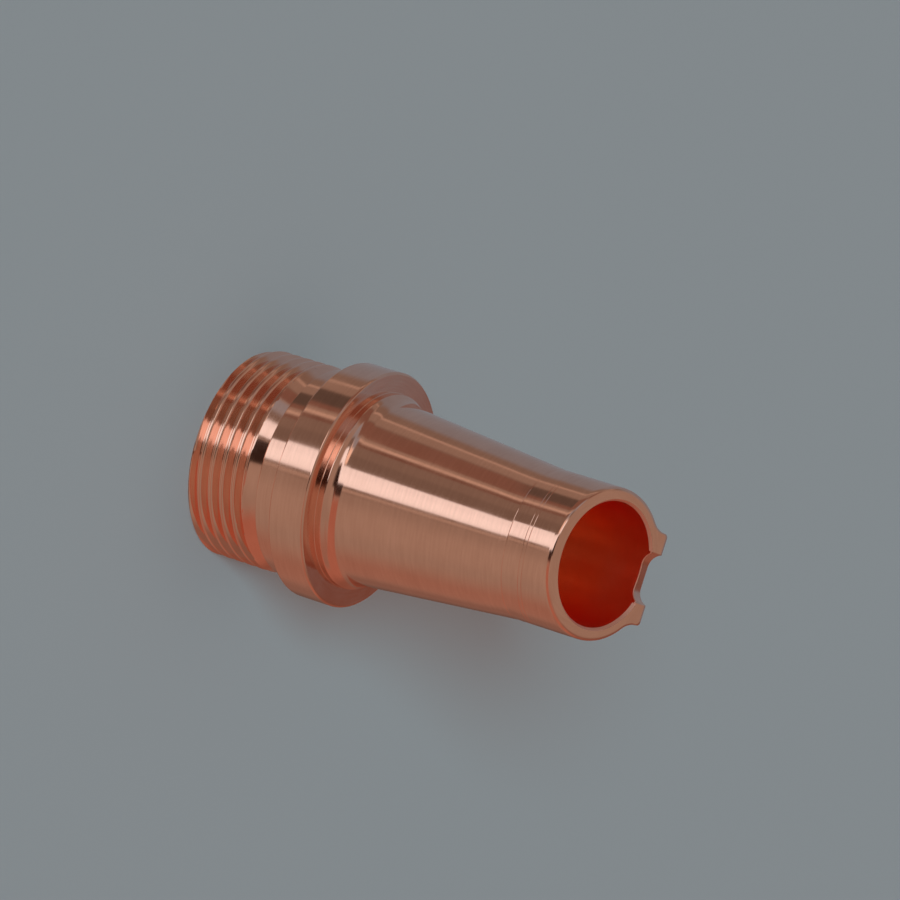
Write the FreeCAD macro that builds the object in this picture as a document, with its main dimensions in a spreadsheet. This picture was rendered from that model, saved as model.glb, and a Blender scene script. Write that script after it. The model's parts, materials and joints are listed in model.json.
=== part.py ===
import FreeCAD, Part
import math
import os
import Sketcher

# Copper nozzle for a hand-held laser welding head: one turned and milled piece.
# Millimetres. The rear face lies on Z = 0, the axis is Z and the tip points up.
# The wire notch is on the +Y side of the tip, where the slanted tip face is highest.

os.makedirs("parts", exist_ok=True)
doc = FreeCAD.newDocument("welding_nozzle")

# Driving dimensions, in millimetres and degrees.
sizes = {
    # Screw end
    "thread_radius": 8.0,
    "thread_pitch": 1.0,
    "thread_depth": 0.6,
    "thread_crest_width": 0.14,
    "thread_flank_angle": 30.0,
    "thread_chamfer": 0.25,
    # Run-out behind the thread: a slope down to a narrow flat
    "relief_depth": 0.6,
    "relief_slope_length": 0.95,
    "relief_flat_length": 0.2,
    # Plain locating land between the run-out and the collar, a little under the thread
    "land_clearance": 0.05,
    "land_length": 1.85,
    # Collar that seats on the welding head, standing out past the thread
    "collar_overhang": 1.0,
    "collar_length": 3.0,
    "collar_chamfer": 0.12,
    # Low round step with a bevelled edge on the collar's front face, standing out past the cone
    "step_width": 0.6,
    "step_height": 0.5,
    "step_bevel": 0.25,
    # Cone, with a hollow fillet at its root
    "cone_base_radius": 6.85,
    "cone_length": 14.0,
    "root_fillet": 0.22,
    # Straight land at the tip, its length measured along the axis
    "tip_radius": 5.65,
    "tip_length": 5.35,
    "tip_slant_angle": 14.5,
    "tip_edge_radius": 0.28,
    # Bore for the beam and the gas: wide at the screw end, tapered, then straight
    "rear_bore_radius": 6.25,
    "rear_bore_depth": 9.5,
    "rear_bore_chamfer": 0.3,
    "taper_radius": 5.45,
    "taper_shoulder_length": 0.8,
    "tip_bore_radius": 4.65,
    "tip_bore_length": 6.0,
    "bore_mouth_chamfer": 0.18,
    # Flat-backed pad round the wire notch, with two ears
    "pad_half_width": 3.5,
    "ear_rise": 1.265,
    "pad_length": 2.3,
    "pad_corner_radius": 0.35,
    "pad_root_radius": 1.4,
    # Wire notch, milled through the wall at the pad
    "notch_width": 3.9,
    "notch_floor_rise": 0.55,
    "notch_corner_radius": 1.1,
    # How far a cutter runs past the metal
    "cutter_overrun": 3.0,
}

sheet = doc.addObject("Spreadsheet::Sheet", "Sizes")
for row, (name, value) in enumerate(sizes.items(), start=1):
    sheet.set("A%d" % row, name)
    sheet.set("B%d" % row, str(value))
    sheet.setAlias("B%d" % row, name)
doc.recompute()

# Turns of the thread, each drawn as a ring of the thread's section
thread_turns = 5

# Radii that follow another size, as formulas of the sheet
root_radius = "(Sizes.thread_radius - Sizes.thread_depth)"
relief_radius = "(Sizes.thread_radius - Sizes.relief_depth)"
land_radius = "(Sizes.thread_radius - Sizes.land_clearance)"
collar_radius = "(Sizes.thread_radius + Sizes.collar_overhang)"
collar_edge_radius = collar_radius + " - Sizes.collar_chamfer"
step_radius = "(Sizes.cone_base_radius + Sizes.step_width)"

# Distance from the axis to the pad's flat back: where its sides leave the land, plus the ears
pad_foot = "sqrt(Sizes.tip_radius * Sizes.tip_radius - Sizes.pad_half_width * Sizes.pad_half_width)"
pad_height = "(" + pad_foot + " + Sizes.ear_rise)"

# Length of a thread flank along the axis, from its angle to a plane square to the axis
flank_slope = "tan(Sizes.thread_flank_angle * 1 deg)"
flank_length = "Sizes.thread_depth * " + flank_slope
# Where the rear chamfer meets the first flank
start_ridge = "(Sizes.thread_chamfer / (1 + 1 / " + flank_slope + "))"

# Heights along the outside, from the rear face up to the tip
thread_end = "%d * Sizes.thread_pitch" % thread_turns
slope_end = thread_end + " + Sizes.relief_slope_length"
land_rear = slope_end + " + Sizes.relief_flat_length"
collar_rear = land_rear + " + Sizes.land_length"
collar_front = collar_rear + " + Sizes.collar_length"
step_edge = collar_front + " + Sizes.step_height"
step_front = step_edge + " + Sizes.step_bevel"
cone_end = step_front + " + Sizes.cone_length"
tip_centre = cone_end + " + Sizes.tip_length"
slant_reach = "(" + pad_height + " + Sizes.cutter_overrun)"
slant_rise = slant_reach + " * tan(Sizes.tip_slant_angle * 1 deg)"
blank_top = tip_centre + " + Sizes.cutter_overrun + " + slant_rise

# Heights in the bore
shoulder_end = "Sizes.rear_bore_depth + Sizes.taper_shoulder_length"
taper_end = tip_centre + " - Sizes.tip_bore_length"
notch_floor = tip_centre + " + Sizes.notch_floor_rise"
notch_wall = "Sizes.notch_width / 2"

# How edges are told apart: points taken along each, and how closely two lengths must agree
edge_points = 5
tolerance = 1e-4


def number(formula):
    """The value that a formula of the sheet's names has now."""
    return float(sheet.evalExpression(formula))


body = doc.addObject("PartDesign::Body", "Nozzle")
body.Label = "nozzle"
body.Placement = FreeCAD.Placement()


def origin_part(role):
    return next(part for part in body.Origin.OriginFeatures if part.Role == role)


def new_sketch(name, role):
    """An empty sketch on one of the body's origin planes."""
    sketch = body.newObject("Sketcher::SketchObject", name)
    sketch.AttachmentSupport = (origin_part(role), [""])
    sketch.MapMode = "FlatFace"
    return sketch


def tie(sketch, kind, *targets, formula):
    """A dimension in a sketch that follows a formula of the sheet."""
    index = sketch.addConstraint(Sketcher.Constraint(kind, *targets, number(formula)))
    sketch.setExpression("Constraints[%d]" % index, formula)


def tie_point(sketch, line, end, across, along):
    """Ties one end of a line to its distances from the sketch's origin, or to an axis."""
    if across == "0":
        sketch.addConstraint(Sketcher.Constraint("PointOnObject", line, end, -2))
    else:
        tie(sketch, "DistanceX", -1, 1, line, end, formula=across)
    if along == "0":
        sketch.addConstraint(Sketcher.Constraint("PointOnObject", line, end, -1))
    else:
        tie(sketch, "DistanceY", -1, 1, line, end, formula=along)


def outline(name, role, corners):
    """A closed sketch of straight lines, each corner tied to the sheet."""
    sketch = new_sketch(name, role)
    points = [FreeCAD.Vector(number(across), number(along), 0) for across, along in corners]
    for i, point in enumerate(points):
        sketch.addGeometry(Part.LineSegment(point, points[(i + 1) % len(points)]), False)
    for i in range(len(points)):
        sketch.addConstraint(Sketcher.Constraint("Coincident", i, 2, (i + 1) % len(points), 1))
    for i, (across, along) in enumerate(corners):
        tie_point(sketch, i, 1, across, along)
    return sketch


def turned(kind, name, profile):
    """A full turn of a profile about the axis: a Revolution adds and a Groove cuts."""
    feature = body.newObject("PartDesign::" + kind, name)
    feature.Profile = profile
    feature.ReferenceAxis = (origin_part("Z_Axis"), [""])
    feature.Angle = 360.0
    doc.recompute()
    return feature


def cut_through(name, profile, both_ways, reversed_way):
    """A pocket through all the metal on one side of its sketch, or on both."""
    before = body.Tip.Shape.Volume
    feature = body.newObject("PartDesign::Pocket", name)
    feature.Profile = profile
    feature.Type = "ThroughAll"
    feature.Midplane = both_ways
    feature.Reversed = reversed_way
    doc.recompute()
    if not feature.Shape.Volume < before:
        raise ValueError(name + " removes no metal")
    return feature


def dress(kind, name, setting, formula, chosen):
    """A fillet or a chamfer on the edges of the newest feature that a test chooses."""
    base = body.Tip
    edges = ["Edge%d" % (i + 1) for i, edge in enumerate(base.Shape.Edges) if chosen(edge)]
    if not edges:
        raise ValueError(name + " finds no edge")
    feature = body.newObject("PartDesign::" + kind, name)
    feature.Base = (base, edges)
    feature.setExpression(setting, formula)
    doc.recompute()
    return feature


def samples(edge):
    """Points spread along an edge, its ends included."""
    return edge.discretize(edge_points)


def same(first, second):
    return abs(first - second) < tolerance


def is_ring(edge, radius, height):
    """True for an edge that runs round the axis at one radius and one height."""
    return all(
        same(math.hypot(point.x, point.y), radius) and same(point.z, height)
        for point in samples(edge)
    )


def stands_at(edge, across):
    """True for an upright edge at this distance to either side of the notch's middle."""
    ends = samples(edge)
    upright = same(ends[0].x, ends[-1].x) and same(ends[0].y, ends[-1].y)
    return upright and same(abs(ends[0].x), across) and not same(ends[0].z, ends[-1].z)


# Thread rings, from the rear face up: a root, then a crest that ends at a whole number of pitches
thread_profile = []
for turn in range(1, thread_turns + 1):
    root_start = "%d * Sizes.thread_pitch + " % (turn - 1) + flank_length
    crest_start = "%d * Sizes.thread_pitch - Sizes.thread_crest_width" % turn
    thread_profile += [
        (root_radius, root_start),
        (root_radius, crest_start + " - " + flank_length),
        ("Sizes.thread_radius", crest_start),
        ("Sizes.thread_radius", "%d * Sizes.thread_pitch" % turn),
    ]

# Turned outside: screw end, run-out, land, collar, step, cone and tip blank
outside = outline(
    "OutsideProfile",
    "YZ_Plane",
    [
        ("0", "0"),
        ("Sizes.thread_radius - Sizes.thread_chamfer", "0"),
        ("Sizes.thread_radius - Sizes.thread_chamfer + " + start_ridge, start_ridge),
        *thread_profile,
        (relief_radius, slope_end),
        (relief_radius, land_rear),
        (land_radius, land_rear),
        (land_radius, collar_rear),
        (collar_edge_radius, collar_rear),
        (collar_radius, collar_rear + " + Sizes.collar_chamfer"),
        (collar_radius, collar_front + " - Sizes.collar_chamfer"),
        (collar_edge_radius, collar_front),
        (step_radius, collar_front),
        (step_radius, step_edge),
        (step_radius + " - Sizes.step_bevel", step_front),
        ("Sizes.cone_base_radius", step_front),
        ("Sizes.tip_radius", cone_end),
        ("Sizes.tip_radius", blank_top),
        ("0", blank_top),
    ],
)
turned("Revolution", "TurnedOutside", outside)
dress(
    "Fillet",
    "RootFillet",
    "Radius",
    "Sizes.root_fillet",
    lambda edge: is_ring(edge, sizes["cone_base_radius"], number(step_front)),
)

# Pad round the notch: two ears that stand out past the round land
pad_back = outline(
    "PadProfile",
    "XZ_Plane",
    [
        ("-Sizes.pad_half_width", tip_centre + " - Sizes.pad_length"),
        ("Sizes.pad_half_width", tip_centre + " - Sizes.pad_length"),
        ("Sizes.pad_half_width", blank_top),
        ("-Sizes.pad_half_width", blank_top),
    ],
)
pad = body.newObject("PartDesign::Pad", "NotchPad")
pad.Profile = pad_back
pad.Reversed = True
pad.setExpression("Length", pad_height)
doc.recompute()
dress(
    "Fillet",
    "PadCorners",
    "Radius",
    "Sizes.pad_corner_radius",
    lambda edge: stands_at(edge, sizes["pad_half_width"])
    and same(edge.Vertexes[0].Y, number(pad_height)),
)
dress(
    "Fillet",
    "PadRoots",
    "Radius",
    "Sizes.pad_root_radius",
    lambda edge: stands_at(edge, sizes["pad_half_width"])
    and same(math.hypot(edge.Vertexes[0].X, edge.Vertexes[0].Y), sizes["tip_radius"]),
)

# Bore: wide screw end, shoulder, long taper and straight tip bore
bore = outline(
    "BoreProfile",
    "YZ_Plane",
    [
        ("0", "0"),
        ("Sizes.rear_bore_radius + Sizes.rear_bore_chamfer", "0"),
        ("Sizes.rear_bore_radius", "Sizes.rear_bore_chamfer"),
        ("Sizes.rear_bore_radius", "Sizes.rear_bore_depth"),
        ("Sizes.taper_radius", shoulder_end),
        ("Sizes.tip_bore_radius", taper_end),
        ("Sizes.tip_bore_radius", blank_top),
        ("0", blank_top),
    ],
)
turned("Groove", "Bore", bore)

# Slanted tip face, highest on the notch's side
slant = outline(
    "SlantProfile",
    "YZ_Plane",
    [
        ("-" + slant_reach, tip_centre + " - " + slant_rise),
        (slant_reach, tip_centre + " + " + slant_rise),
        (slant_reach, blank_top + " + Sizes.cutter_overrun"),
        ("-" + slant_reach, blank_top + " + Sizes.cutter_overrun"),
    ],
)
cut_through("SlantedTip", slant, True, False)


def on_slant(edge):
    """True for an edge that lies in the slanted tip face."""
    slope = math.tan(math.radians(sizes["tip_slant_angle"]))
    middle = number(tip_centre)
    return all(same(point.z, middle + slope * point.y) for point in samples(edge))


def at_mouth(edge):
    radius = sizes["tip_bore_radius"]
    return all(same(math.hypot(point.x, point.y), radius) for point in samples(edge))


dress(
    "Fillet",
    "TipEdge",
    "Radius",
    "Sizes.tip_edge_radius",
    lambda edge: on_slant(edge) and not at_mouth(edge),
)
dress(
    "Chamfer",
    "BoreMouth",
    "Size",
    "Sizes.bore_mouth_chamfer",
    lambda edge: on_slant(edge) and at_mouth(edge),
)

# Wire notch: a round-cornered channel square to the axis, through the wall at the pad
notch = new_sketch("NotchProfile", "XZ_Plane")
floor = number(notch_floor)
wall = number(notch_wall)
round_radius = sizes["notch_corner_radius"]
top = number(blank_top)
left_wall, left_round, channel_floor, right_round, right_wall, channel_top = range(6)
notch.addGeometry(
    [
        Part.LineSegment(
            FreeCAD.Vector(-wall, top, 0), FreeCAD.Vector(-wall, floor + round_radius, 0)
        ),
        Part.ArcOfCircle(
            Part.Circle(
                FreeCAD.Vector(round_radius - wall, floor + round_radius, 0),
                FreeCAD.Vector(0, 0, 1),
                round_radius,
            ),
            math.pi,
            1.5 * math.pi,
        ),
        Part.LineSegment(
            FreeCAD.Vector(round_radius - wall, floor, 0),
            FreeCAD.Vector(wall - round_radius, floor, 0),
        ),
        Part.ArcOfCircle(
            Part.Circle(
                FreeCAD.Vector(wall - round_radius, floor + round_radius, 0),
                FreeCAD.Vector(0, 0, 1),
                round_radius,
            ),
            1.5 * math.pi,
            2 * math.pi,
        ),
        Part.LineSegment(
            FreeCAD.Vector(wall, floor + round_radius, 0), FreeCAD.Vector(wall, top, 0)
        ),
        Part.LineSegment(FreeCAD.Vector(wall, top, 0), FreeCAD.Vector(-wall, top, 0)),
    ],
    False,
)
notch.addConstraint(
    [
        Sketcher.Constraint("Tangent", left_wall, 2, left_round, 1),
        Sketcher.Constraint("Tangent", left_round, 2, channel_floor, 1),
        Sketcher.Constraint("Tangent", channel_floor, 2, right_round, 1),
        Sketcher.Constraint("Tangent", right_round, 2, right_wall, 1),
        Sketcher.Constraint("Coincident", right_wall, 2, channel_top, 1),
        Sketcher.Constraint("Coincident", channel_top, 2, left_wall, 1),
        Sketcher.Constraint("Horizontal", channel_floor),
        Sketcher.Constraint("Horizontal", channel_top),
        Sketcher.Constraint("Vertical", left_wall),
        Sketcher.Constraint("Vertical", right_wall),
        Sketcher.Constraint("Equal", left_round, right_round),
    ]
)
tie(notch, "Radius", left_round, formula="Sizes.notch_corner_radius")
tie(notch, "DistanceX", -1, 1, right_wall, 2, formula=notch_wall)
tie(notch, "DistanceX", -1, 1, left_wall, 1, formula="-" + notch_wall)
tie(notch, "DistanceY", -1, 1, channel_floor, 1, formula=notch_floor)
tie(notch, "DistanceY", -1, 1, channel_top, 1, formula=blank_top)
cut_through("WireNotch", notch, False, False)

doc.recompute()
for item in doc.Objects:
    if "Invalid" in item.State or "Error" in item.State:
        raise ValueError(item.Name + " failed: " + ", ".join(item.State))
shape = body.Shape
if shape.isNull() or not shape.isValid() or len(shape.Solids) != 1:
    raise ValueError("the nozzle is not one valid solid")
shape.exportStep("parts/nozzle.step")
print("nozzle: volume %.1f cubic mm, box %s" % (shape.Volume, shape.BoundBox))
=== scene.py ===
import json
import math
import bpy
import numpy as np
from mathutils import Matrix


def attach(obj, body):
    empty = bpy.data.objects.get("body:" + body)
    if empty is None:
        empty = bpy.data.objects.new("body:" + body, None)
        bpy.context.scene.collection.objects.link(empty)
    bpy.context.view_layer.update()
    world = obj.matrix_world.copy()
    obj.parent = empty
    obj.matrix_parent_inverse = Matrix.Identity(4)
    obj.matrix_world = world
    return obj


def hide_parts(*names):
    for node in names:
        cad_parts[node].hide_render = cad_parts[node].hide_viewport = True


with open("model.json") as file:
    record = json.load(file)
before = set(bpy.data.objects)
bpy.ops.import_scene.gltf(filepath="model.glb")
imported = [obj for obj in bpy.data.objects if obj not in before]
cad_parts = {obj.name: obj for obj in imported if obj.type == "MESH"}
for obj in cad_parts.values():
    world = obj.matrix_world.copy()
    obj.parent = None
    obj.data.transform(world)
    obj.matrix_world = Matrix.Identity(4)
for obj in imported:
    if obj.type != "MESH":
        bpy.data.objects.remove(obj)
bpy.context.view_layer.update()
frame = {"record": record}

mounts = {mount["name"]: mount for mount in frame["record"]["mounts"]}
mm = 0.001  # sizes below are in millimetres, Blender's are in metres

# nozzle body: heights are measured up the axis from the rear face
body = {
    "threadRadius": mounts["thread"]["dims"]["r_mm"],
    "threadPitch": 1.0,
    "threadDepth": 0.60,
    "threadCrest": 0.09,  # half width of the flat on a crest
    "threadSlope": 1.732,  # a 60 degree thread climbs this much per millimetre
    "threadSoftness": 0.05,
    "threadBevel": 0.25,
    "threadEnd": 5.0,
    "threadFade": 0.75,  # rows turn level again over this height at each end
    "threadReturn": 14.0,  # degrees each side of the notch where rows drop back one pitch
    "pitchCount": 8,  # pitches that get rows, more than the screw end has
    "rowPlaces": (  # places of the rows round a crest, in pitches
        -0.44, -0.36, -0.27, -0.19, -0.13, -0.09, -0.05, 0,
        0.05, 0.09, 0.13, 0.19, 0.27, 0.36, 0.44, 0.5,
    ),
    "rowMargin": 0.03,  # rows nearer than this to either end of the screw end are left out
    "reliefRadius": 7.40,
    "reliefEnd": 5.95,
    "landRear": 6.15,
    "landRadius": 7.95,
    "collarRear": 8.0,
    "cornerGroove": 0.12,  # dark line where the land meets the collar
    "collarRadius": 9.0,
    "collarFront": 11.0,
    "collarBevel": 0.12,
    "edgeSoftness": 0.05,
    "stepRadius": 7.45,
    "stepHeight": 0.5,
    "stepBevel": 0.25,
    "coneRadius": 6.85,
    "rootHollow": 1.5,  # radius of the hollow between the step and the cone
    "hollowSteps": 14,
    "coneAngle": 4.9,  # degrees between the cone's side and the axis
    "coneEnd": 25.75,
    "coneSteps": 6,
    "tipRadius": 5.65,
    "scribeDepth": 0.018,
    "scribeWidth": 0.05,
    "scribes": (25.80, 27.16, 27.44),
    "tipCentre": 31.1,  # height of the slanted tip face on the axis
    "slant": 14.5,  # degrees
    "padStart": 28.8,
    "sharpAngle": 32.0,  # degrees between two faces from which their edge is drawn sharp
}

# pad and notch, looked at down the axis, with the notch towards +Y
notch = {
    "halfWidth": 1.95,
    "draft": 0.02,  # each wall leans out by this much on its way up
    "corner": 1.1,
    "cornerSteps": 10,
    "floorRise": 0.55,
    "floorSteps": 4,
    "padHalfWidth": 3.5,
    "padHeight": 5.70,
    "padTopSteps": 4,
    "padCorner": 0.30,
    "padCornerSteps": 6,
    "padSideSteps": 3,
    "padRoot": 2.0,
    "padRootSteps": 5,
    "edge": 0.06,
    "rimEdge": 0.41,
    "rimSteps": 5,
    "mouthEdge": 0.18,
    "roundColumns": 270,
    # rows across each surface of the tip, as shares of the way
    "wallRows": (0.0, 0.02, 0.25, 0.5, 0.75, 0.96),
    "faceRows": (0.06, 0.35, 0.65, 0.94),
    "mouthRows": (0.0, 0.06, 0.5, 0.94, 1.0),
    "throatRows": (0.04, 0.35, 0.65, 0.97),
}

# bore: wide at the screw end, tapered, then straight to the tip
bore = {
    "tipRadius": mounts["tip_bore"]["dims"]["r_mm"],
    "throat": 0.4,  # below the pad's start by this much, rows are level again
    "taperEnd": 25.1,
    "taperRadius": 5.45,
    "taperStart": 10.3,
    "rearRadius": mounts["rear_bore"]["dims"]["r_mm"],
    "rearDepth": 9.5,
    "rearBevel": 0.3,
    "edgeSoftness": 0.08,
    "rearFaceMargin": 0.1,  # the last row stops this far inside the run-out's radius
    "facing": 0.8,  # a face this near to looking straight at the axis may be the bore's
    "wallMargin": 0.05,
}

# softened corners: the most that a curve takes of either line beside it, and where the row that
# holds the line straight lies, as a share of the curve's own reach
softening = {"mostOfLine": 0.4, "holdingRow": 0.35, "steps": 4}


# points along a straight line between two points, the first left out
def straight(start, end, count):
    share = np.linspace(0, 1, count + 1)[1:, None]
    return np.asarray(start) * (1 - share) + np.asarray(end) * share


# points along a circle's arc, the first left out: the centre plus the radius times the cosine
# and sine of an even run of angles
def arc(centre, radius, startAngle, endAngle, count):
    angle = np.radians(np.linspace(startAngle, endAngle, count + 1)[1:])
    return np.stack([centre[0] + radius * np.cos(angle), centre[1] + radius * np.sin(angle)], 1)


# curve that rounds a corner: (1-t)^2 times its start, plus 2t(1-t) times the corner, plus t^2
# times its end, for a share t
def roundedCorner(start, corner, end, share):
    return (1 - share) ** 2 * start + 2 * share * (1 - share) * corner + share**2 * end


# height of the slanted tip face: the height on the axis plus y times the slope
def slantHeight(y):
    return body["tipCentre"] + y * math.tan(math.radians(body["slant"]))


# half of the tip's outline, from the notch's wall round to the far side, as (x, y) down the axis
def tipOutline():
    halfWidth, height = notch["padHalfWidth"], notch["padHeight"]
    corner, root, radius = notch["padCorner"], notch["padRoot"], body["tipRadius"]
    start = (notch["halfWidth"] + notch["draft"], height)
    rootCentre = (halfWidth + root, math.sqrt((radius + root) ** 2 - (halfWidth + root) ** 2))
    rootAngle = math.degrees(math.atan2(rootCentre[1], rootCentre[0]))
    pieces = [
        np.array([start]),
        straight(start, (halfWidth - corner, height), notch["padTopSteps"]),
        arc((halfWidth - corner, height - corner), corner, 90, 0, notch["padCornerSteps"]),
        straight((halfWidth, height - corner), (halfWidth, rootCentre[1]), notch["padSideSteps"]),
        arc(rootCentre, root, 180, 180 + rootAngle, notch["padRootSteps"]),
        arc((0, 0), radius, rootAngle, -90, notch["roundColumns"] // 2),
    ]
    return np.concatenate(pieces)


# half of the notch's profile, from the middle of its floor up to the rim, as (x, height)
def notchProfile():
    floor = body["tipCentre"] + notch["floorRise"]
    corner, wall = notch["corner"], notch["halfWidth"]
    pieces = [
        np.array([(0.0, floor)]),
        straight((0, floor), (wall - corner, floor), notch["floorSteps"]),
        arc((wall - corner, floor + corner), corner, -90, 0, notch["cornerSteps"]),
        np.array([(wall + notch["draft"], slantHeight(notch["padHeight"]))]),
    ]
    return np.concatenate(pieces)


# columns round the nozzle: outline point, bore point and rim heights for each
# outside the notch the rim lies on the slant, and inside it follows the notch's profile
def columns():
    outlineHalf, profileHalf = tipOutline(), notchProfile()
    around = np.concatenate([outlineHalf, outlineHalf[-2::-1] * (-1, 1)])
    across = np.concatenate([profileHalf[-2:0:-1] * (-1, 1), profileHalf[:-1]])
    outerNotch = np.maximum(
        notch["padHeight"], np.sqrt(body["tipRadius"] ** 2 - across[:, 0] ** 2)
    )
    outer = np.concatenate([around, np.stack([across[:, 0], outerNotch], 1)])
    boreRadius = bore["tipRadius"]
    edgeAngle = math.acos((notch["halfWidth"] + notch["draft"]) / boreRadius)
    outerAngle = np.unwrap(np.arctan2(around[:, 1], around[:, 0]))
    share = (outerAngle - outerAngle[0]) / (outerAngle[-1] - outerAngle[0])
    innerAngle = edgeAngle - share * (2 * edgeAngle + math.pi)
    innerRound = boreRadius * np.stack([np.cos(innerAngle), np.sin(innerAngle)], 1)
    innerNotch = np.stack([across[:, 0], np.sqrt(boreRadius**2 - across[:, 0] ** 2)], 1)
    inner = np.concatenate([innerRound, innerNotch])
    outerTop, innerTop = slantHeight(outer[:, 1]), slantHeight(inner[:, 1])
    inNotch = np.arange(len(outer)) >= len(around)
    outerTop[inNotch] = np.minimum(outerTop[inNotch], across[:, 1])
    innerTop[inNotch] = np.minimum(innerTop[inNotch], across[:, 1])
    return outer, inner, outerTop, innerTop, inNotch


# rounds each corner of an (r, z) line: a corner gives way to a curve from a little before it to
# a little after it
def softened(points, bevel):
    points = np.asarray(points, float)
    share = np.linspace(0, 1, softening["steps"] + 1)[:, None]
    most = softening["mostOfLine"]
    rows = [points[:1]]
    for before, corner, after in zip(points[:-2], points[1:-1], points[2:]):
        back, ahead = before - corner, after - corner
        reach = min(bevel, np.linalg.norm(back) * most, np.linalg.norm(ahead) * most)
        start = corner + back / np.linalg.norm(back) * reach
        end = corner + ahead / np.linalg.norm(ahead) * reach
        holding = reach * softening["holdingRow"]
        rows.append(np.array([start + back / np.linalg.norm(back) * holding]))
        rows.append(roundedCorner(start, corner, end, share))
        rows.append(np.array([end + ahead / np.linalg.norm(ahead) * holding]))
    rows.append(points[-1:])
    return np.concatenate(rows)


# share of a turn round the nozzle, from 0 at the front (-Y) to a half at the notch's middle
def turnShare(angle):
    return (angle / (2 * math.pi) + 0.75) % 1.0 - 0.5


# radius of a right-hand thread: the distance from the nearest crest, times the flank's slope, is
# the depth, crests climb one pitch a turn, and soft limits round the crest and the root
def threadRadiusAt(height, angle):
    pitch, soft = body["threadPitch"], body["threadSoftness"]
    turn = (height / pitch - turnShare(angle)) % 1.0
    fromCrest = np.minimum(turn, 1 - turn) * pitch
    depth = (fromCrest - body["threadCrest"]) * body["threadSlope"]
    depth = 0.5 * (depth + np.sqrt(depth**2 + soft**2))
    over = body["threadDepth"] - depth
    depth = body["threadDepth"] - 0.5 * (over + np.sqrt(over**2 + soft**2))
    return body["threadRadius"] - np.maximum(depth, 0)


# a row of points, one for each angle round the axis
def ring(radius, height, angle):
    wide = np.ones_like(angle)
    return np.stack([radius * np.cos(angle), radius * np.sin(angle), height * wide], 1)


# rows of the screw end: they climb with the helix and fade to level at both ends, and each
# point's radius is the least of the thread's, the rear bevel's and the run-out slope's
def screwEndRows(angle):
    pitch, end, top = body["threadPitch"], body["threadEnd"], body["reliefEnd"]
    margin = body["rowMargin"]
    level = np.add.outer(np.arange(body["pitchCount"]) * pitch, np.array(body["rowPlaces"]) * pitch)
    level = level[(level > margin) & (level < top - margin)]
    level = np.concatenate([[0.0], level, [top]])
    climb = turnShare(angle) * pitch
    rest = 0.5 - np.abs(turnShare(angle))
    climb = climb * np.minimum(rest / (body["threadReturn"] / 360), 1)
    fade = np.clip(np.minimum(level, top - level) / body["threadFade"], 0, 1)
    height = level[:, None] + fade[:, None] * climb
    rearRadius = body["threadRadius"] - body["threadBevel"]
    slope = (body["threadRadius"] - body["reliefRadius"]) / (top - end)
    runOut = body["threadRadius"] - np.maximum(height - end, 0) * slope
    radius = np.minimum(threadRadiusAt(height, angle), rearRadius + height)
    radius = np.where(height > end, runOut, np.minimum(radius, runOut))
    return [ring(rowRadius, rowHeight, angle) for rowRadius, rowHeight in zip(radius, height)]


# land, collar, step, hollow, cone and scribed lines as one (r, z) line with softened corners
# the hollow starts at the bevel's end, at the angle whose cosine leaves the cone's own radius
def bodyLine():
    size, groove = body, body["cornerGroove"]
    stepFront = size["collarFront"] + size["stepHeight"] + size["stepBevel"]
    outline = [
        (size["reliefRadius"], size["reliefEnd"]),
        (size["reliefRadius"], size["landRear"]),
        (size["landRadius"], size["landRear"]),
        (size["landRadius"], size["collarRear"] - groove),
        (size["landRadius"] - groove, size["collarRear"] - groove / 2),
        (size["landRadius"], size["collarRear"]),
        (size["collarRadius"] - size["collarBevel"], size["collarRear"]),
        (size["collarRadius"], size["collarRear"] + size["collarBevel"]),
        (size["collarRadius"], size["collarFront"] - size["collarBevel"]),
        (size["collarRadius"] - size["collarBevel"], size["collarFront"]),
        (size["stepRadius"], size["collarFront"]),
        (size["stepRadius"], size["collarFront"] + size["stepHeight"]),
        (size["stepRadius"] - size["stepBevel"], stepFront),
    ]
    hollow, rise = size["rootHollow"], size["stepRadius"] - size["stepBevel"] - size["coneRadius"]
    start = math.acos(1 - rise / hollow)
    centre = (size["coneRadius"] + hollow, stepFront + hollow * math.sin(start))
    first, last = 180 + math.degrees(start), 180 + size["coneAngle"]
    hollowLine = arc(centre, hollow, first, last, size["hollowSteps"])
    line = list(softened(outline + [tuple(hollowLine[0])], size["edgeSoftness"])[1:])
    line += list(hollowLine[1:])
    line += list(straight(line[-1], (size["tipRadius"], size["coneEnd"]), size["coneSteps"]))
    half = size["scribeWidth"] / 2
    for mark in size["scribes"]:
        line.append((size["tipRadius"], mark - half))
        line.append((size["tipRadius"] - size["scribeDepth"], mark))
        line.append((size["tipRadius"], mark + half))
    line.append((size["tipRadius"], size["padStart"] - half))
    return line


# bore from the tip down to the rear face, and the flat ring back to the screw end
def boreLine():
    inside = [
        (bore["tipRadius"], body["padStart"] - bore["throat"]),
        (bore["tipRadius"], bore["taperEnd"]),
        (bore["taperRadius"], bore["taperStart"]),
        (bore["rearRadius"], bore["rearDepth"]),
        (bore["rearRadius"], bore["rearBevel"]),
        (bore["rearRadius"] + bore["rearBevel"], 0.0),
        (body["reliefRadius"] - bore["rearFaceMargin"], 0.0),
    ]
    return softened(inside, bore["edgeSoftness"])


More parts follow.
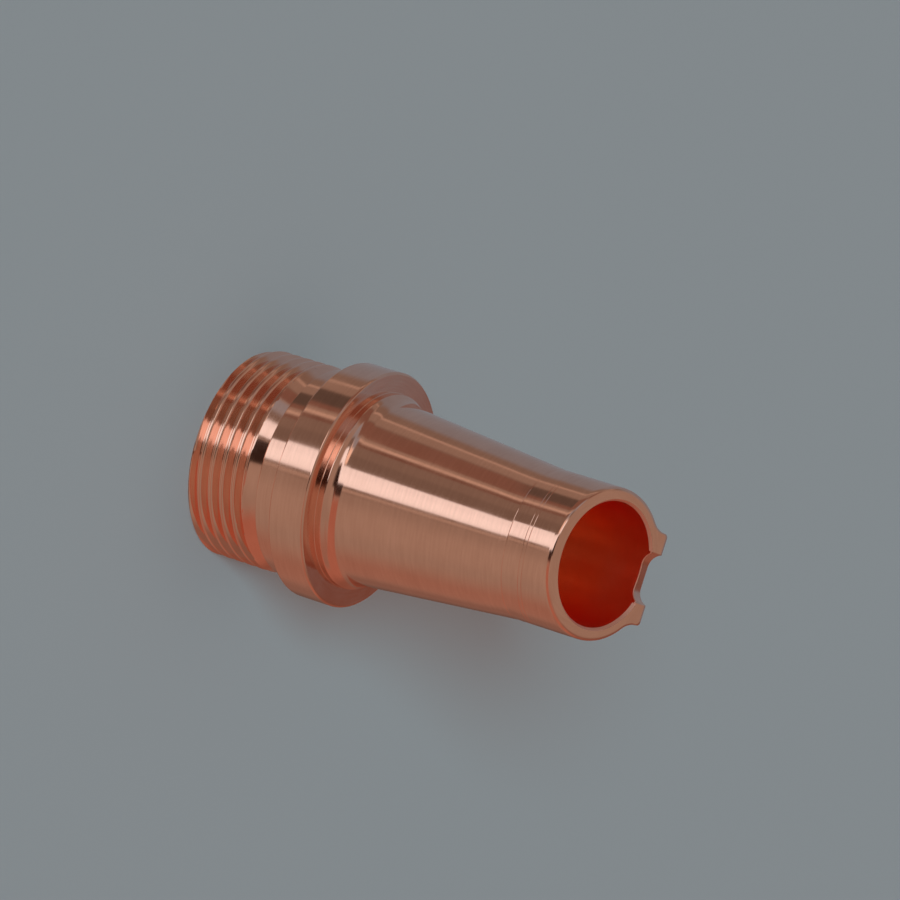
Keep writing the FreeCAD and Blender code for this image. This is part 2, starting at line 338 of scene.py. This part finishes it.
# closed ring surface, in millimetres: columns run round the axis, and rows run up the outside,
# over the rim and down the bore; the numbers of the mouth's first and last rows go with it
def nozzleGrid():
    outer, inner, outerTop, innerTop, inNotch = columns()
    outerAngle = np.arctan2(outer[:, 1], outer[:, 0])
    innerAngle = np.arctan2(inner[:, 1], inner[:, 0])
    rows = screwEndRows(outerAngle)
    rows += [ring(radius, height, outerAngle) for radius, height in bodyLine()]

    # rows between two rows of points, at shares of the way
    def between(first, last, shares):
        return [first * (1 - share) + last * share for share in shares]

    # tip land and pad: outline points carried up to each column's rim
    onFloor = inNotch & (outerTop < slantHeight(outer[:, 1]))
    edge = np.where(onFloor, notch["edge"], notch["rimEdge"])[:, None]
    mouth = np.where(inNotch, notch["edge"], notch["mouthEdge"])[:, None]
    rimOuter = np.concatenate([outer, outerTop[:, None]], 1)
    rimInner = np.concatenate([inner, innerTop[:, None]], 1)
    inward = rimInner - rimOuter
    inward = inward / np.linalg.norm(inward, axis=1, keepdims=True)
    down = np.array([0.0, 0.0, -1.0])
    wallBottom = rimOuter.copy()
    wallBottom[:, 2] = body["padStart"]
    wallTop, faceStart = rimOuter + down * edge, rimOuter + inward * edge
    rows += between(wallBottom, wallTop, notch["wallRows"])

    # rounded rim, flat slanted face, bevelled bore mouth and the bore's throat
    for share in np.linspace(0, 1, notch["rimSteps"] + 1):
        rows.append(roundedCorner(wallTop, rimOuter, faceStart, share))
    mouthTop, mouthBottom = rimInner - inward * mouth, rimInner + down * mouth
    rows += between(faceStart, mouthTop, notch["faceRows"])
    mouthStart = len(rows)
    rows += between(mouthTop, mouthBottom, notch["mouthRows"])
    mouthEnd = len(rows) - 1
    throatEnd = ring(bore["tipRadius"], body["padStart"] - bore["throat"], innerAngle)
    rows += between(mouthBottom, throatEnd, notch["throatRows"])
    rows += [ring(radius, height, innerAngle) for radius, height in boreLine()]
    return np.array(rows), mouthStart, mouthEnd


# joins a grid of points into quads that close both round the columns and round the rows
def closedRing(name, grid):
    rowCount, columnCount = grid.shape[:2]
    row = np.arange(rowCount)[:, None]
    column = np.arange(columnCount)[None, :]
    nextRow, nextColumn = (row + 1) % rowCount, (column + 1) % columnCount
    corners = [
        row * columnCount + column,
        nextRow * columnCount + column,
        nextRow * columnCount + nextColumn,
        row * columnCount + nextColumn,
    ]
    faces = np.stack([corner.ravel() for corner in corners], 1)
    mesh = bpy.data.meshes.new(name)
    mesh.vertices.add(rowCount * columnCount)
    mesh.vertices.foreach_set("co", (grid * mm).astype(np.float32).ravel())
    mesh.loops.add(faces.size)
    mesh.loops.foreach_set("vertex_index", faces.astype(np.int32).ravel())
    mesh.polygons.add(len(faces))
    mesh.polygons.foreach_set("loop_start", np.arange(0, faces.size, 4, dtype=np.int32))
    mesh.polygons.foreach_set("use_smooth", np.ones(len(faces), bool))
    mesh.update(calc_edges=True)
    mesh.validate()
    piece = bpy.data.objects.new(name, mesh)
    bpy.context.scene.collection.objects.link(piece)
    return piece


# helpers for a node tree, where a value is a number or another node's socket
def calculated(tree, operation, *values):
    node = tree.nodes.new("ShaderNodeMath")
    node.operation = operation
    for socket, value in zip(node.inputs, values):
        if isinstance(value, (int, float)):
            socket.default_value = value
        else:
            tree.links.new(value, socket)
    return node.outputs[0]


# a value carried from its first range (low, high) to a second one
def ranged(tree, value, limits, kind="LINEAR"):
    node = tree.nodes.new("ShaderNodeMapRange")
    node.interpolation_type = kind
    tree.links.new(value, node.inputs["Value"])
    for name, limit in zip(("From Min", "From Max", "To Min", "To Max"), limits):
        node.inputs[name].default_value = limit
    return node.outputs["Result"]


# two colours mixed by a share, each a tuple or a socket
def mixed(tree, share, under, over):
    node = tree.nodes.new("ShaderNodeMix")
    node.data_type = "RGBA"
    tree.links.new(share, node.inputs["Factor"])
    sockets = [socket for socket in node.inputs if socket.type == "RGBA"]
    for socket, colour in zip(sockets, (under, over)):
        if isinstance(colour, tuple):
            socket.default_value = colour
        else:
            tree.links.new(colour, socket)
    return next(socket for socket in node.outputs if socket.type == "RGBA")


# copper: one metal, turned outside; in the bore the render's own mirroring is helped by a base
# colour painted redder, a painted reflection, and it is duller at its mouth
copper = {
    "turned": {
        "bright": (0.98, 0.60, 0.475, 1.0),
        "dull": (0.89, 0.53, 0.415, 1.0),
        "roughness": (0.08, 0.14),
        "markWidth": 0.16,
        "markHeight": 0.0014,
    },
    # bore: base colours redder than the turned outside, painted reflection of the copper mirroring
    # itself deep in the bore
    "bore": {
        "bright": (1.0, 0.55, 0.38, 1.0),
        "dull": (0.98, 0.49, 0.32, 1.0),
        "roughness": (0.18, 0.26),
        "markWidth": 0.22,
        "markHeight": 0.003,
    },
    "mouth": {
        "bright": (1.0, 0.60, 0.50, 1.0),
        "dull": (0.95, 0.56, 0.46, 1.0),
        "roughness": (0.50, 0.60),
        "markWidth": 0.16,
        "markHeight": 0.0014,
    },
    "markTurns": 3.0,  # how often a turning mark changes on its way round
    "markDetail": 2.0,
    "stainSize": 2.6,
    "stainDetail": 3.0,
    "colourRange": (0.7, 1.3),  # marks plus stains, from dull to bright
    "stainRange": (0.3, 0.7),  # stains, from smooth to rough
}


# turned metal, from two noises: marks are drawn out round the axis, so their place is the
# direction round the axis times markTurns, then radius plus height over the marks' width
# stains are plain blotches; colour goes from dull to bright with the sum of both, roughness
# goes with the stains, and the marks also raise the surface by their height
def copperMaterial(name, finish):
    material = bpy.data.materials.new(name)
    material.use_nodes = True
    tree = material.node_tree
    nodes, links = tree.nodes, tree.links
    shader = nodes["Principled BSDF"]
    shader.inputs["Metallic"].default_value = 1.0

    def noise(place, scale, detail):
        node = nodes.new("ShaderNodeTexNoise")
        node.inputs["Scale"].default_value = scale
        node.inputs["Detail"].default_value = detail
        links.new(place, node.inputs["Vector"])
        return node.outputs["Fac"]

    place = nodes.new("ShaderNodeTexCoord").outputs["Object"]
    split = nodes.new("ShaderNodeSeparateXYZ")
    links.new(place, split.inputs[0])
    x, y, z = (split.outputs[axis] for axis in "XYZ")
    squares = [calculated(tree, "MULTIPLY", value, value) for value in (x, y)]
    radius = calculated(tree, "SQRT", calculated(tree, "ADD", *squares))
    markPlace = nodes.new("ShaderNodeCombineXYZ")
    for value, axis in ((x, "X"), (y, "Y")):
        direction = calculated(tree, "DIVIDE", value, radius)
        turned = calculated(tree, "MULTIPLY", direction, copper["markTurns"])
        links.new(turned, markPlace.inputs[axis])
    along = calculated(tree, "ADD", radius, z)
    links.new(calculated(tree, "DIVIDE", along, finish["markWidth"] * mm), markPlace.inputs["Z"])
    marks = noise(markPlace.outputs[0], 1.0, copper["markDetail"])
    stains = noise(place, 1 / (copper["stainSize"] * mm), copper["stainDetail"])

    both = calculated(tree, "ADD", marks, stains)
    brightness = ranged(tree, both, (*copper["colourRange"], 0, 1))
    colour = mixed(tree, brightness, finish["dull"], finish["bright"])
    links.new(colour, shader.inputs["Base Color"])
    roughness = ranged(tree, stains, (*copper["stainRange"], *finish["roughness"]))
    links.new(roughness, shader.inputs["Roughness"])
    bump = nodes.new("ShaderNodeBump")
    bump.inputs["Distance"].default_value = finish["markHeight"] * mm
    links.new(marks, bump.inputs["Height"])
    links.new(bump.outputs["Normal"], shader.inputs["Normal"])
    return material


# 1 for a face in the bore, 0 for the rest: a bore face looks at the axis, so its middle's
# distance from the axis times its normal is negative, and it lies inside the bore's own wall
def boreFaces(mesh):
    middle = np.empty(len(mesh.polygons) * 3)
    normal = np.empty(len(mesh.polygons) * 3)
    mesh.polygons.foreach_get("center", middle)
    mesh.polygons.foreach_get("normal", normal)
    middle, normal = middle.reshape(-1, 3) / mm, normal.reshape(-1, 3)
    radius = np.hypot(middle[:, 0], middle[:, 1])
    inward = (middle[:, :2] * normal[:, :2]).sum(1) / radius < -bore["facing"]
    wall = np.interp(
        middle[:, 2],
        [0, bore["rearDepth"], bore["taperStart"], bore["taperEnd"]],
        [bore["rearRadius"], bore["rearRadius"], bore["taperRadius"], bore["tipRadius"]],
    )
    return (inward & (radius < wall + bore["wallMargin"])).astype(np.int32)


nozzlePoints, mouthStart, mouthEnd = nozzleGrid()
nozzle = closedRing("nozzleBody", nozzlePoints)
nozzle.data.set_sharp_from_angle(angle=math.radians(body["sharpAngle"]))
for finishName in ("turned", "bore", "mouth"):
    nozzle.data.materials.append(copperMaterial(finishName + "Copper", copper[finishName]))
# faces in the bore get the bore finish with its painted redder reflection, the mouth's rows the
# duller mouth finish
finishes = boreFaces(nozzle.data).reshape(nozzlePoints.shape[:2])
finishes[mouthStart:mouthEnd] = 2
nozzle.data.polygons.foreach_set("material_index", finishes.ravel())
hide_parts("nozzle")
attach(nozzle, "root")
print("nozzle:", len(nozzle.data.polygons) * 2, "triangles")

# floor: plain pale ground that fills the picture, its half width in metres
floorSize = {"half": 3.0, "colour": (0.50, 0.53, 0.55, 1.0), "roughness": 0.9}


def makeFloor():
    half = floorSize["half"]
    mesh = bpy.data.meshes.new("floor")
    corners = [(-half, -half, 0), (half, -half, 0), (half, half, 0), (-half, half, 0)]
    mesh.from_pydata(corners, [], [(0, 1, 2, 3)])
    floor = bpy.data.objects.new("floor", mesh)
    bpy.context.scene.collection.objects.link(floor)
    material = bpy.data.materials.new("paleFloor")
    material.use_nodes = True
    shader = material.node_tree.nodes["Principled BSDF"]
    shader.inputs["Base Color"].default_value = floorSize["colour"]
    shader.inputs["Roughness"].default_value = floorSize["roughness"]
    mesh.materials.append(material)
    floor.visible_glossy = False


makeFloor()
print("floor: made")

# camera: where the photograph was taken from, turned so that the tip points right
camera = {
    "place": (1.269, -257.672, 154.274),
    "azimuth": -1.30,  # degrees round +Z from straight along +Y
    "elevation": 28.17,  # degrees above the floor
    "roll": 107.09,
    "lens": 160.0,
    "sensor": 36.0,
    "nearest": 0.01,  # metres
    "farthest": 20.0,
}


def makeCamera():
    azimuth, elevation, roll = (
        math.radians(camera[name]) for name in ("azimuth", "elevation", "roll")
    )
    data = bpy.data.cameras.new("camera")
    data.lens = camera["lens"]
    data.sensor_width = camera["sensor"]
    data.clip_start = camera["nearest"]
    data.clip_end = camera["farthest"]
    eye = bpy.data.objects.new("camera", data)
    bpy.context.scene.collection.objects.link(eye)
    turn = (
        Matrix.Rotation(-azimuth, 4, "Z")
        @ Matrix.Rotation(math.pi / 2 - elevation, 4, "X")
        @ Matrix.Rotation(roll, 4, "Z")
    )
    eye.matrix_world = Matrix.Translation([value * mm for value in camera["place"]]) @ turn
    bpy.context.scene.camera = eye


makeCamera()
print("camera: placed")

# studio: the lights and walls that the copper mirrors, each a panel with its edges in side angles
# a side angle is the place on the nozzle's side where the camera sees the panel: 0 faces the
# camera and negative is up in the picture, so a direction's azimuth is twice its side angle, turned
studio = {
    "turn": 92.5,
    # the panels lean over: two heights, and the side angle that is added between them
    "leans": ((-0.44, -0.36, -1.7), (0.32, 0.56, 12.7)),
    "white": (0.98, 1.02, 1.05),
    "grey": (0.88, 0.95, 1.05),
    "sandy": (1.00, 0.77, 0.62),
    "warm": (1.00, 0.56, 0.42),
    "red": (1.00, 0.42, 0.29),
    "room": ("sandy", 0.21),
    # tint, brightness, first and last side angle, softness of the edges, lower and upper edge
    # a height goes from -1 to 1, so a panel is open where its edge is at -2 or 2
    "panels": {
        "sideWall": ("grey", 0.25, -95, -56, 6, -2, 2),
        "sideStrip": ("sandy", 0.42, -49.3, -47.3, 0.8, -2, 2),
        "sideGlow": ("sandy", 0.27, -47.3, -41.5, 0.8, -2, 2),
        "darkCard": ("warm", 0.20, -40.5, -29.6, 1.5, -2, 2),
        "narrowGlow": ("sandy", 0.30, -29.6, -25.2, 0.8, -2, 2),
        "narrowStrip": ("sandy", 0.55, -27.6, -25.9, 0.5, -2, 2),
        "narrowShade": ("warm", 0.17, -25.2, -23.2, 0.6, -2, 2),
        "upperGlow": ("grey", 0.32, -28, -13, 2, 0.1, 2),
        "softboxShade": ("sandy", 0.18, -17, -9.6, 2, -2, 2),
        "softbox": ("white", 0.99, -9.4, 1.6, 0.7, -2, 2),
        "softboxCore": ("white", 1.05, -5.0, 0.2, 2.5, -2, 2),
        "thinLine": ("sandy", 0.40, 3.2, 5.0, 0.8, -2, 2),
        "lowWall": ("sandy", 0.305, 5.5, 14, 3, -2, 2),
        "paleWall": ("sandy", 0.355, 12, 36, 8, -2, 2),
        "paleWallLow": ("sandy", 0.325, 30, 52, 12, -2, 2),
        "warmWall": ("warm", 0.32, 44, 70, 20, -2, 2),
        "farWall": ("warm", 0.23, 68, 95, 10, -2, 2),
        "farShade": ("warm", 0.15, 79, 95, 9, -2, 0.1),
        "blackCard": ("warm", 0.03, 3.6, 17, 1.5, 0.36, 2),
        "lowDark": ("sandy", 0.10, -41, -32.5, 2, -2, -0.39),
        "highBox": ("sandy", 0.93, -20.5, -10.4, 3, 0.15, 0.42),
        "lowCard": ("warm", 0.04, 1.0, 8.5, 2, -0.20, 0.42),
        "rootGlow": ("red", 0.38, 10, 72, 8, -0.16, 0.42),
        "rootDeep": ("red", 0.25, 66, 95, 10, -0.18, 0.42),
        "farGlow": ("red", 0.18, -95, -80.0, 0.6, 0.38, 0.60),
        "farGlowLow": ("red", 0.18, 84, 110, 4, 0.38, 0.60),
    },
    "edgeSoftness": 0.05,  # of a panel's lower and upper edge, each way
    "ceiling": ("sandy", 0.32),
    "ceilingHeights": (0.62, 0.80),
}


# colour of the room by direction: each panel covers the ones before it
# its share is a smooth step at its first edge times one at its last, and the same for its heights
def makeWorld():
    world = bpy.data.worlds.new("studio")
    bpy.context.scene.world = world
    world.use_nodes = True
    tree = world.node_tree

    def light(tint, brightness):
        return (*(brightness * part for part in studio[tint]), 1.0)

    def smoothStep(value, low, high, start=0.0, end=1.0):
        return ranged(tree, value, (low, high, start, end), "SMOOTHSTEP")

    split = tree.nodes.new("ShaderNodeSeparateXYZ")
    tree.links.new(tree.nodes.new("ShaderNodeTexCoord").outputs["Generated"], split.inputs[0])
    height = split.outputs["Z"]
    azimuth = calculated(tree, "ARCTAN2", split.outputs["Y"], split.outputs["X"])
    turn = calculated(tree, "MULTIPLY", azimuth, 0.5 / math.pi)
    turn = calculated(tree, "ADD", turn, studio["turn"] / 360 + 0.5)
    turn = calculated(tree, "SUBTRACT", calculated(tree, "FRACT", turn), 0.5)
    angle = calculated(tree, "MULTIPLY", turn, 180.0)
    for low, high, lean in studio["leans"]:
        angle = calculated(tree, "ADD", angle, smoothStep(height, low, high, 0, lean))

    blur = studio["edgeSoftness"]
    colour = light(*studio["room"])
    for tint, brightness, first, last, soft, lower, upper in studio["panels"].values():
        steps = [
            smoothStep(angle, first - soft / 2, first + soft / 2),
            smoothStep(angle, last - soft / 2, last + soft / 2, 1, 0),
        ]
        if lower > -1:
            steps.append(smoothStep(height, lower - blur, lower + blur))
        if upper < 1:
            steps.append(smoothStep(height, upper - blur, upper + blur, 1, 0))
        inside = steps[0]
        for step in steps[1:]:
            inside = calculated(tree, "MULTIPLY", inside, step)
        colour = mixed(tree, inside, colour, light(tint, brightness))
    overhead = smoothStep(height, *studio["ceilingHeights"])
    colour = mixed(tree, overhead, colour, light(*studio["ceiling"]))
    tree.links.new(colour, tree.nodes["Background"].inputs["Color"])
    world.cycles_visibility.diffuse = False  # the lamps light the floor


# lamps: they light the floor only, because the copper mirrors the studio
# the key lamp stands near the camera and lays the nozzle's shadow below it, and the fill lamp is
# overhead, warm and casts no shadow
lamps = {
    "keyLamp": {
        "azimuth": 263.0,
        "elevation": 29.0,
        "spread": 17.0,
        "strength": 1.61,
        "colour": (0.44, 0.876, 1.0),
        "shadow": True,
    },
    "fillLamp": {
        "azimuth": 270.0,
        "elevation": 90.0,
        "spread": 90.0,
        "strength": 0.99,
        "colour": (1.0, 0.76, 0.70),
        "shadow": False,
    },
}


def makeLamp(name):
    size = lamps[name]
    data = bpy.data.lights.new(name, "SUN")
    data.energy = size["strength"]
    data.color = size["colour"]
    data.angle = math.radians(size["spread"])
    data.use_shadow = size["shadow"]
    lamp = bpy.data.objects.new(name, data)
    bpy.context.scene.collection.objects.link(lamp)
    turn = Matrix.Rotation(math.radians(size["azimuth"] + 90), 4, "Z")
    lamp.matrix_world = turn @ Matrix.Rotation(math.radians(90 - size["elevation"]), 4, "X")
    lamp.visible_glossy = False


makeWorld()
for lampName in lamps:
    makeLamp(lampName)
print("studio:", len(studio["panels"]), "panels and", len(lamps), "lamps")

bpy.context.scene.cycles.glossy_bounces = 24  # the bore mirrors itself many times
bpy.context.scene.cycles.max_bounces = 32
bpy.context.scene.view_settings.view_transform = "Standard"

bpy.context.view_layer.update()
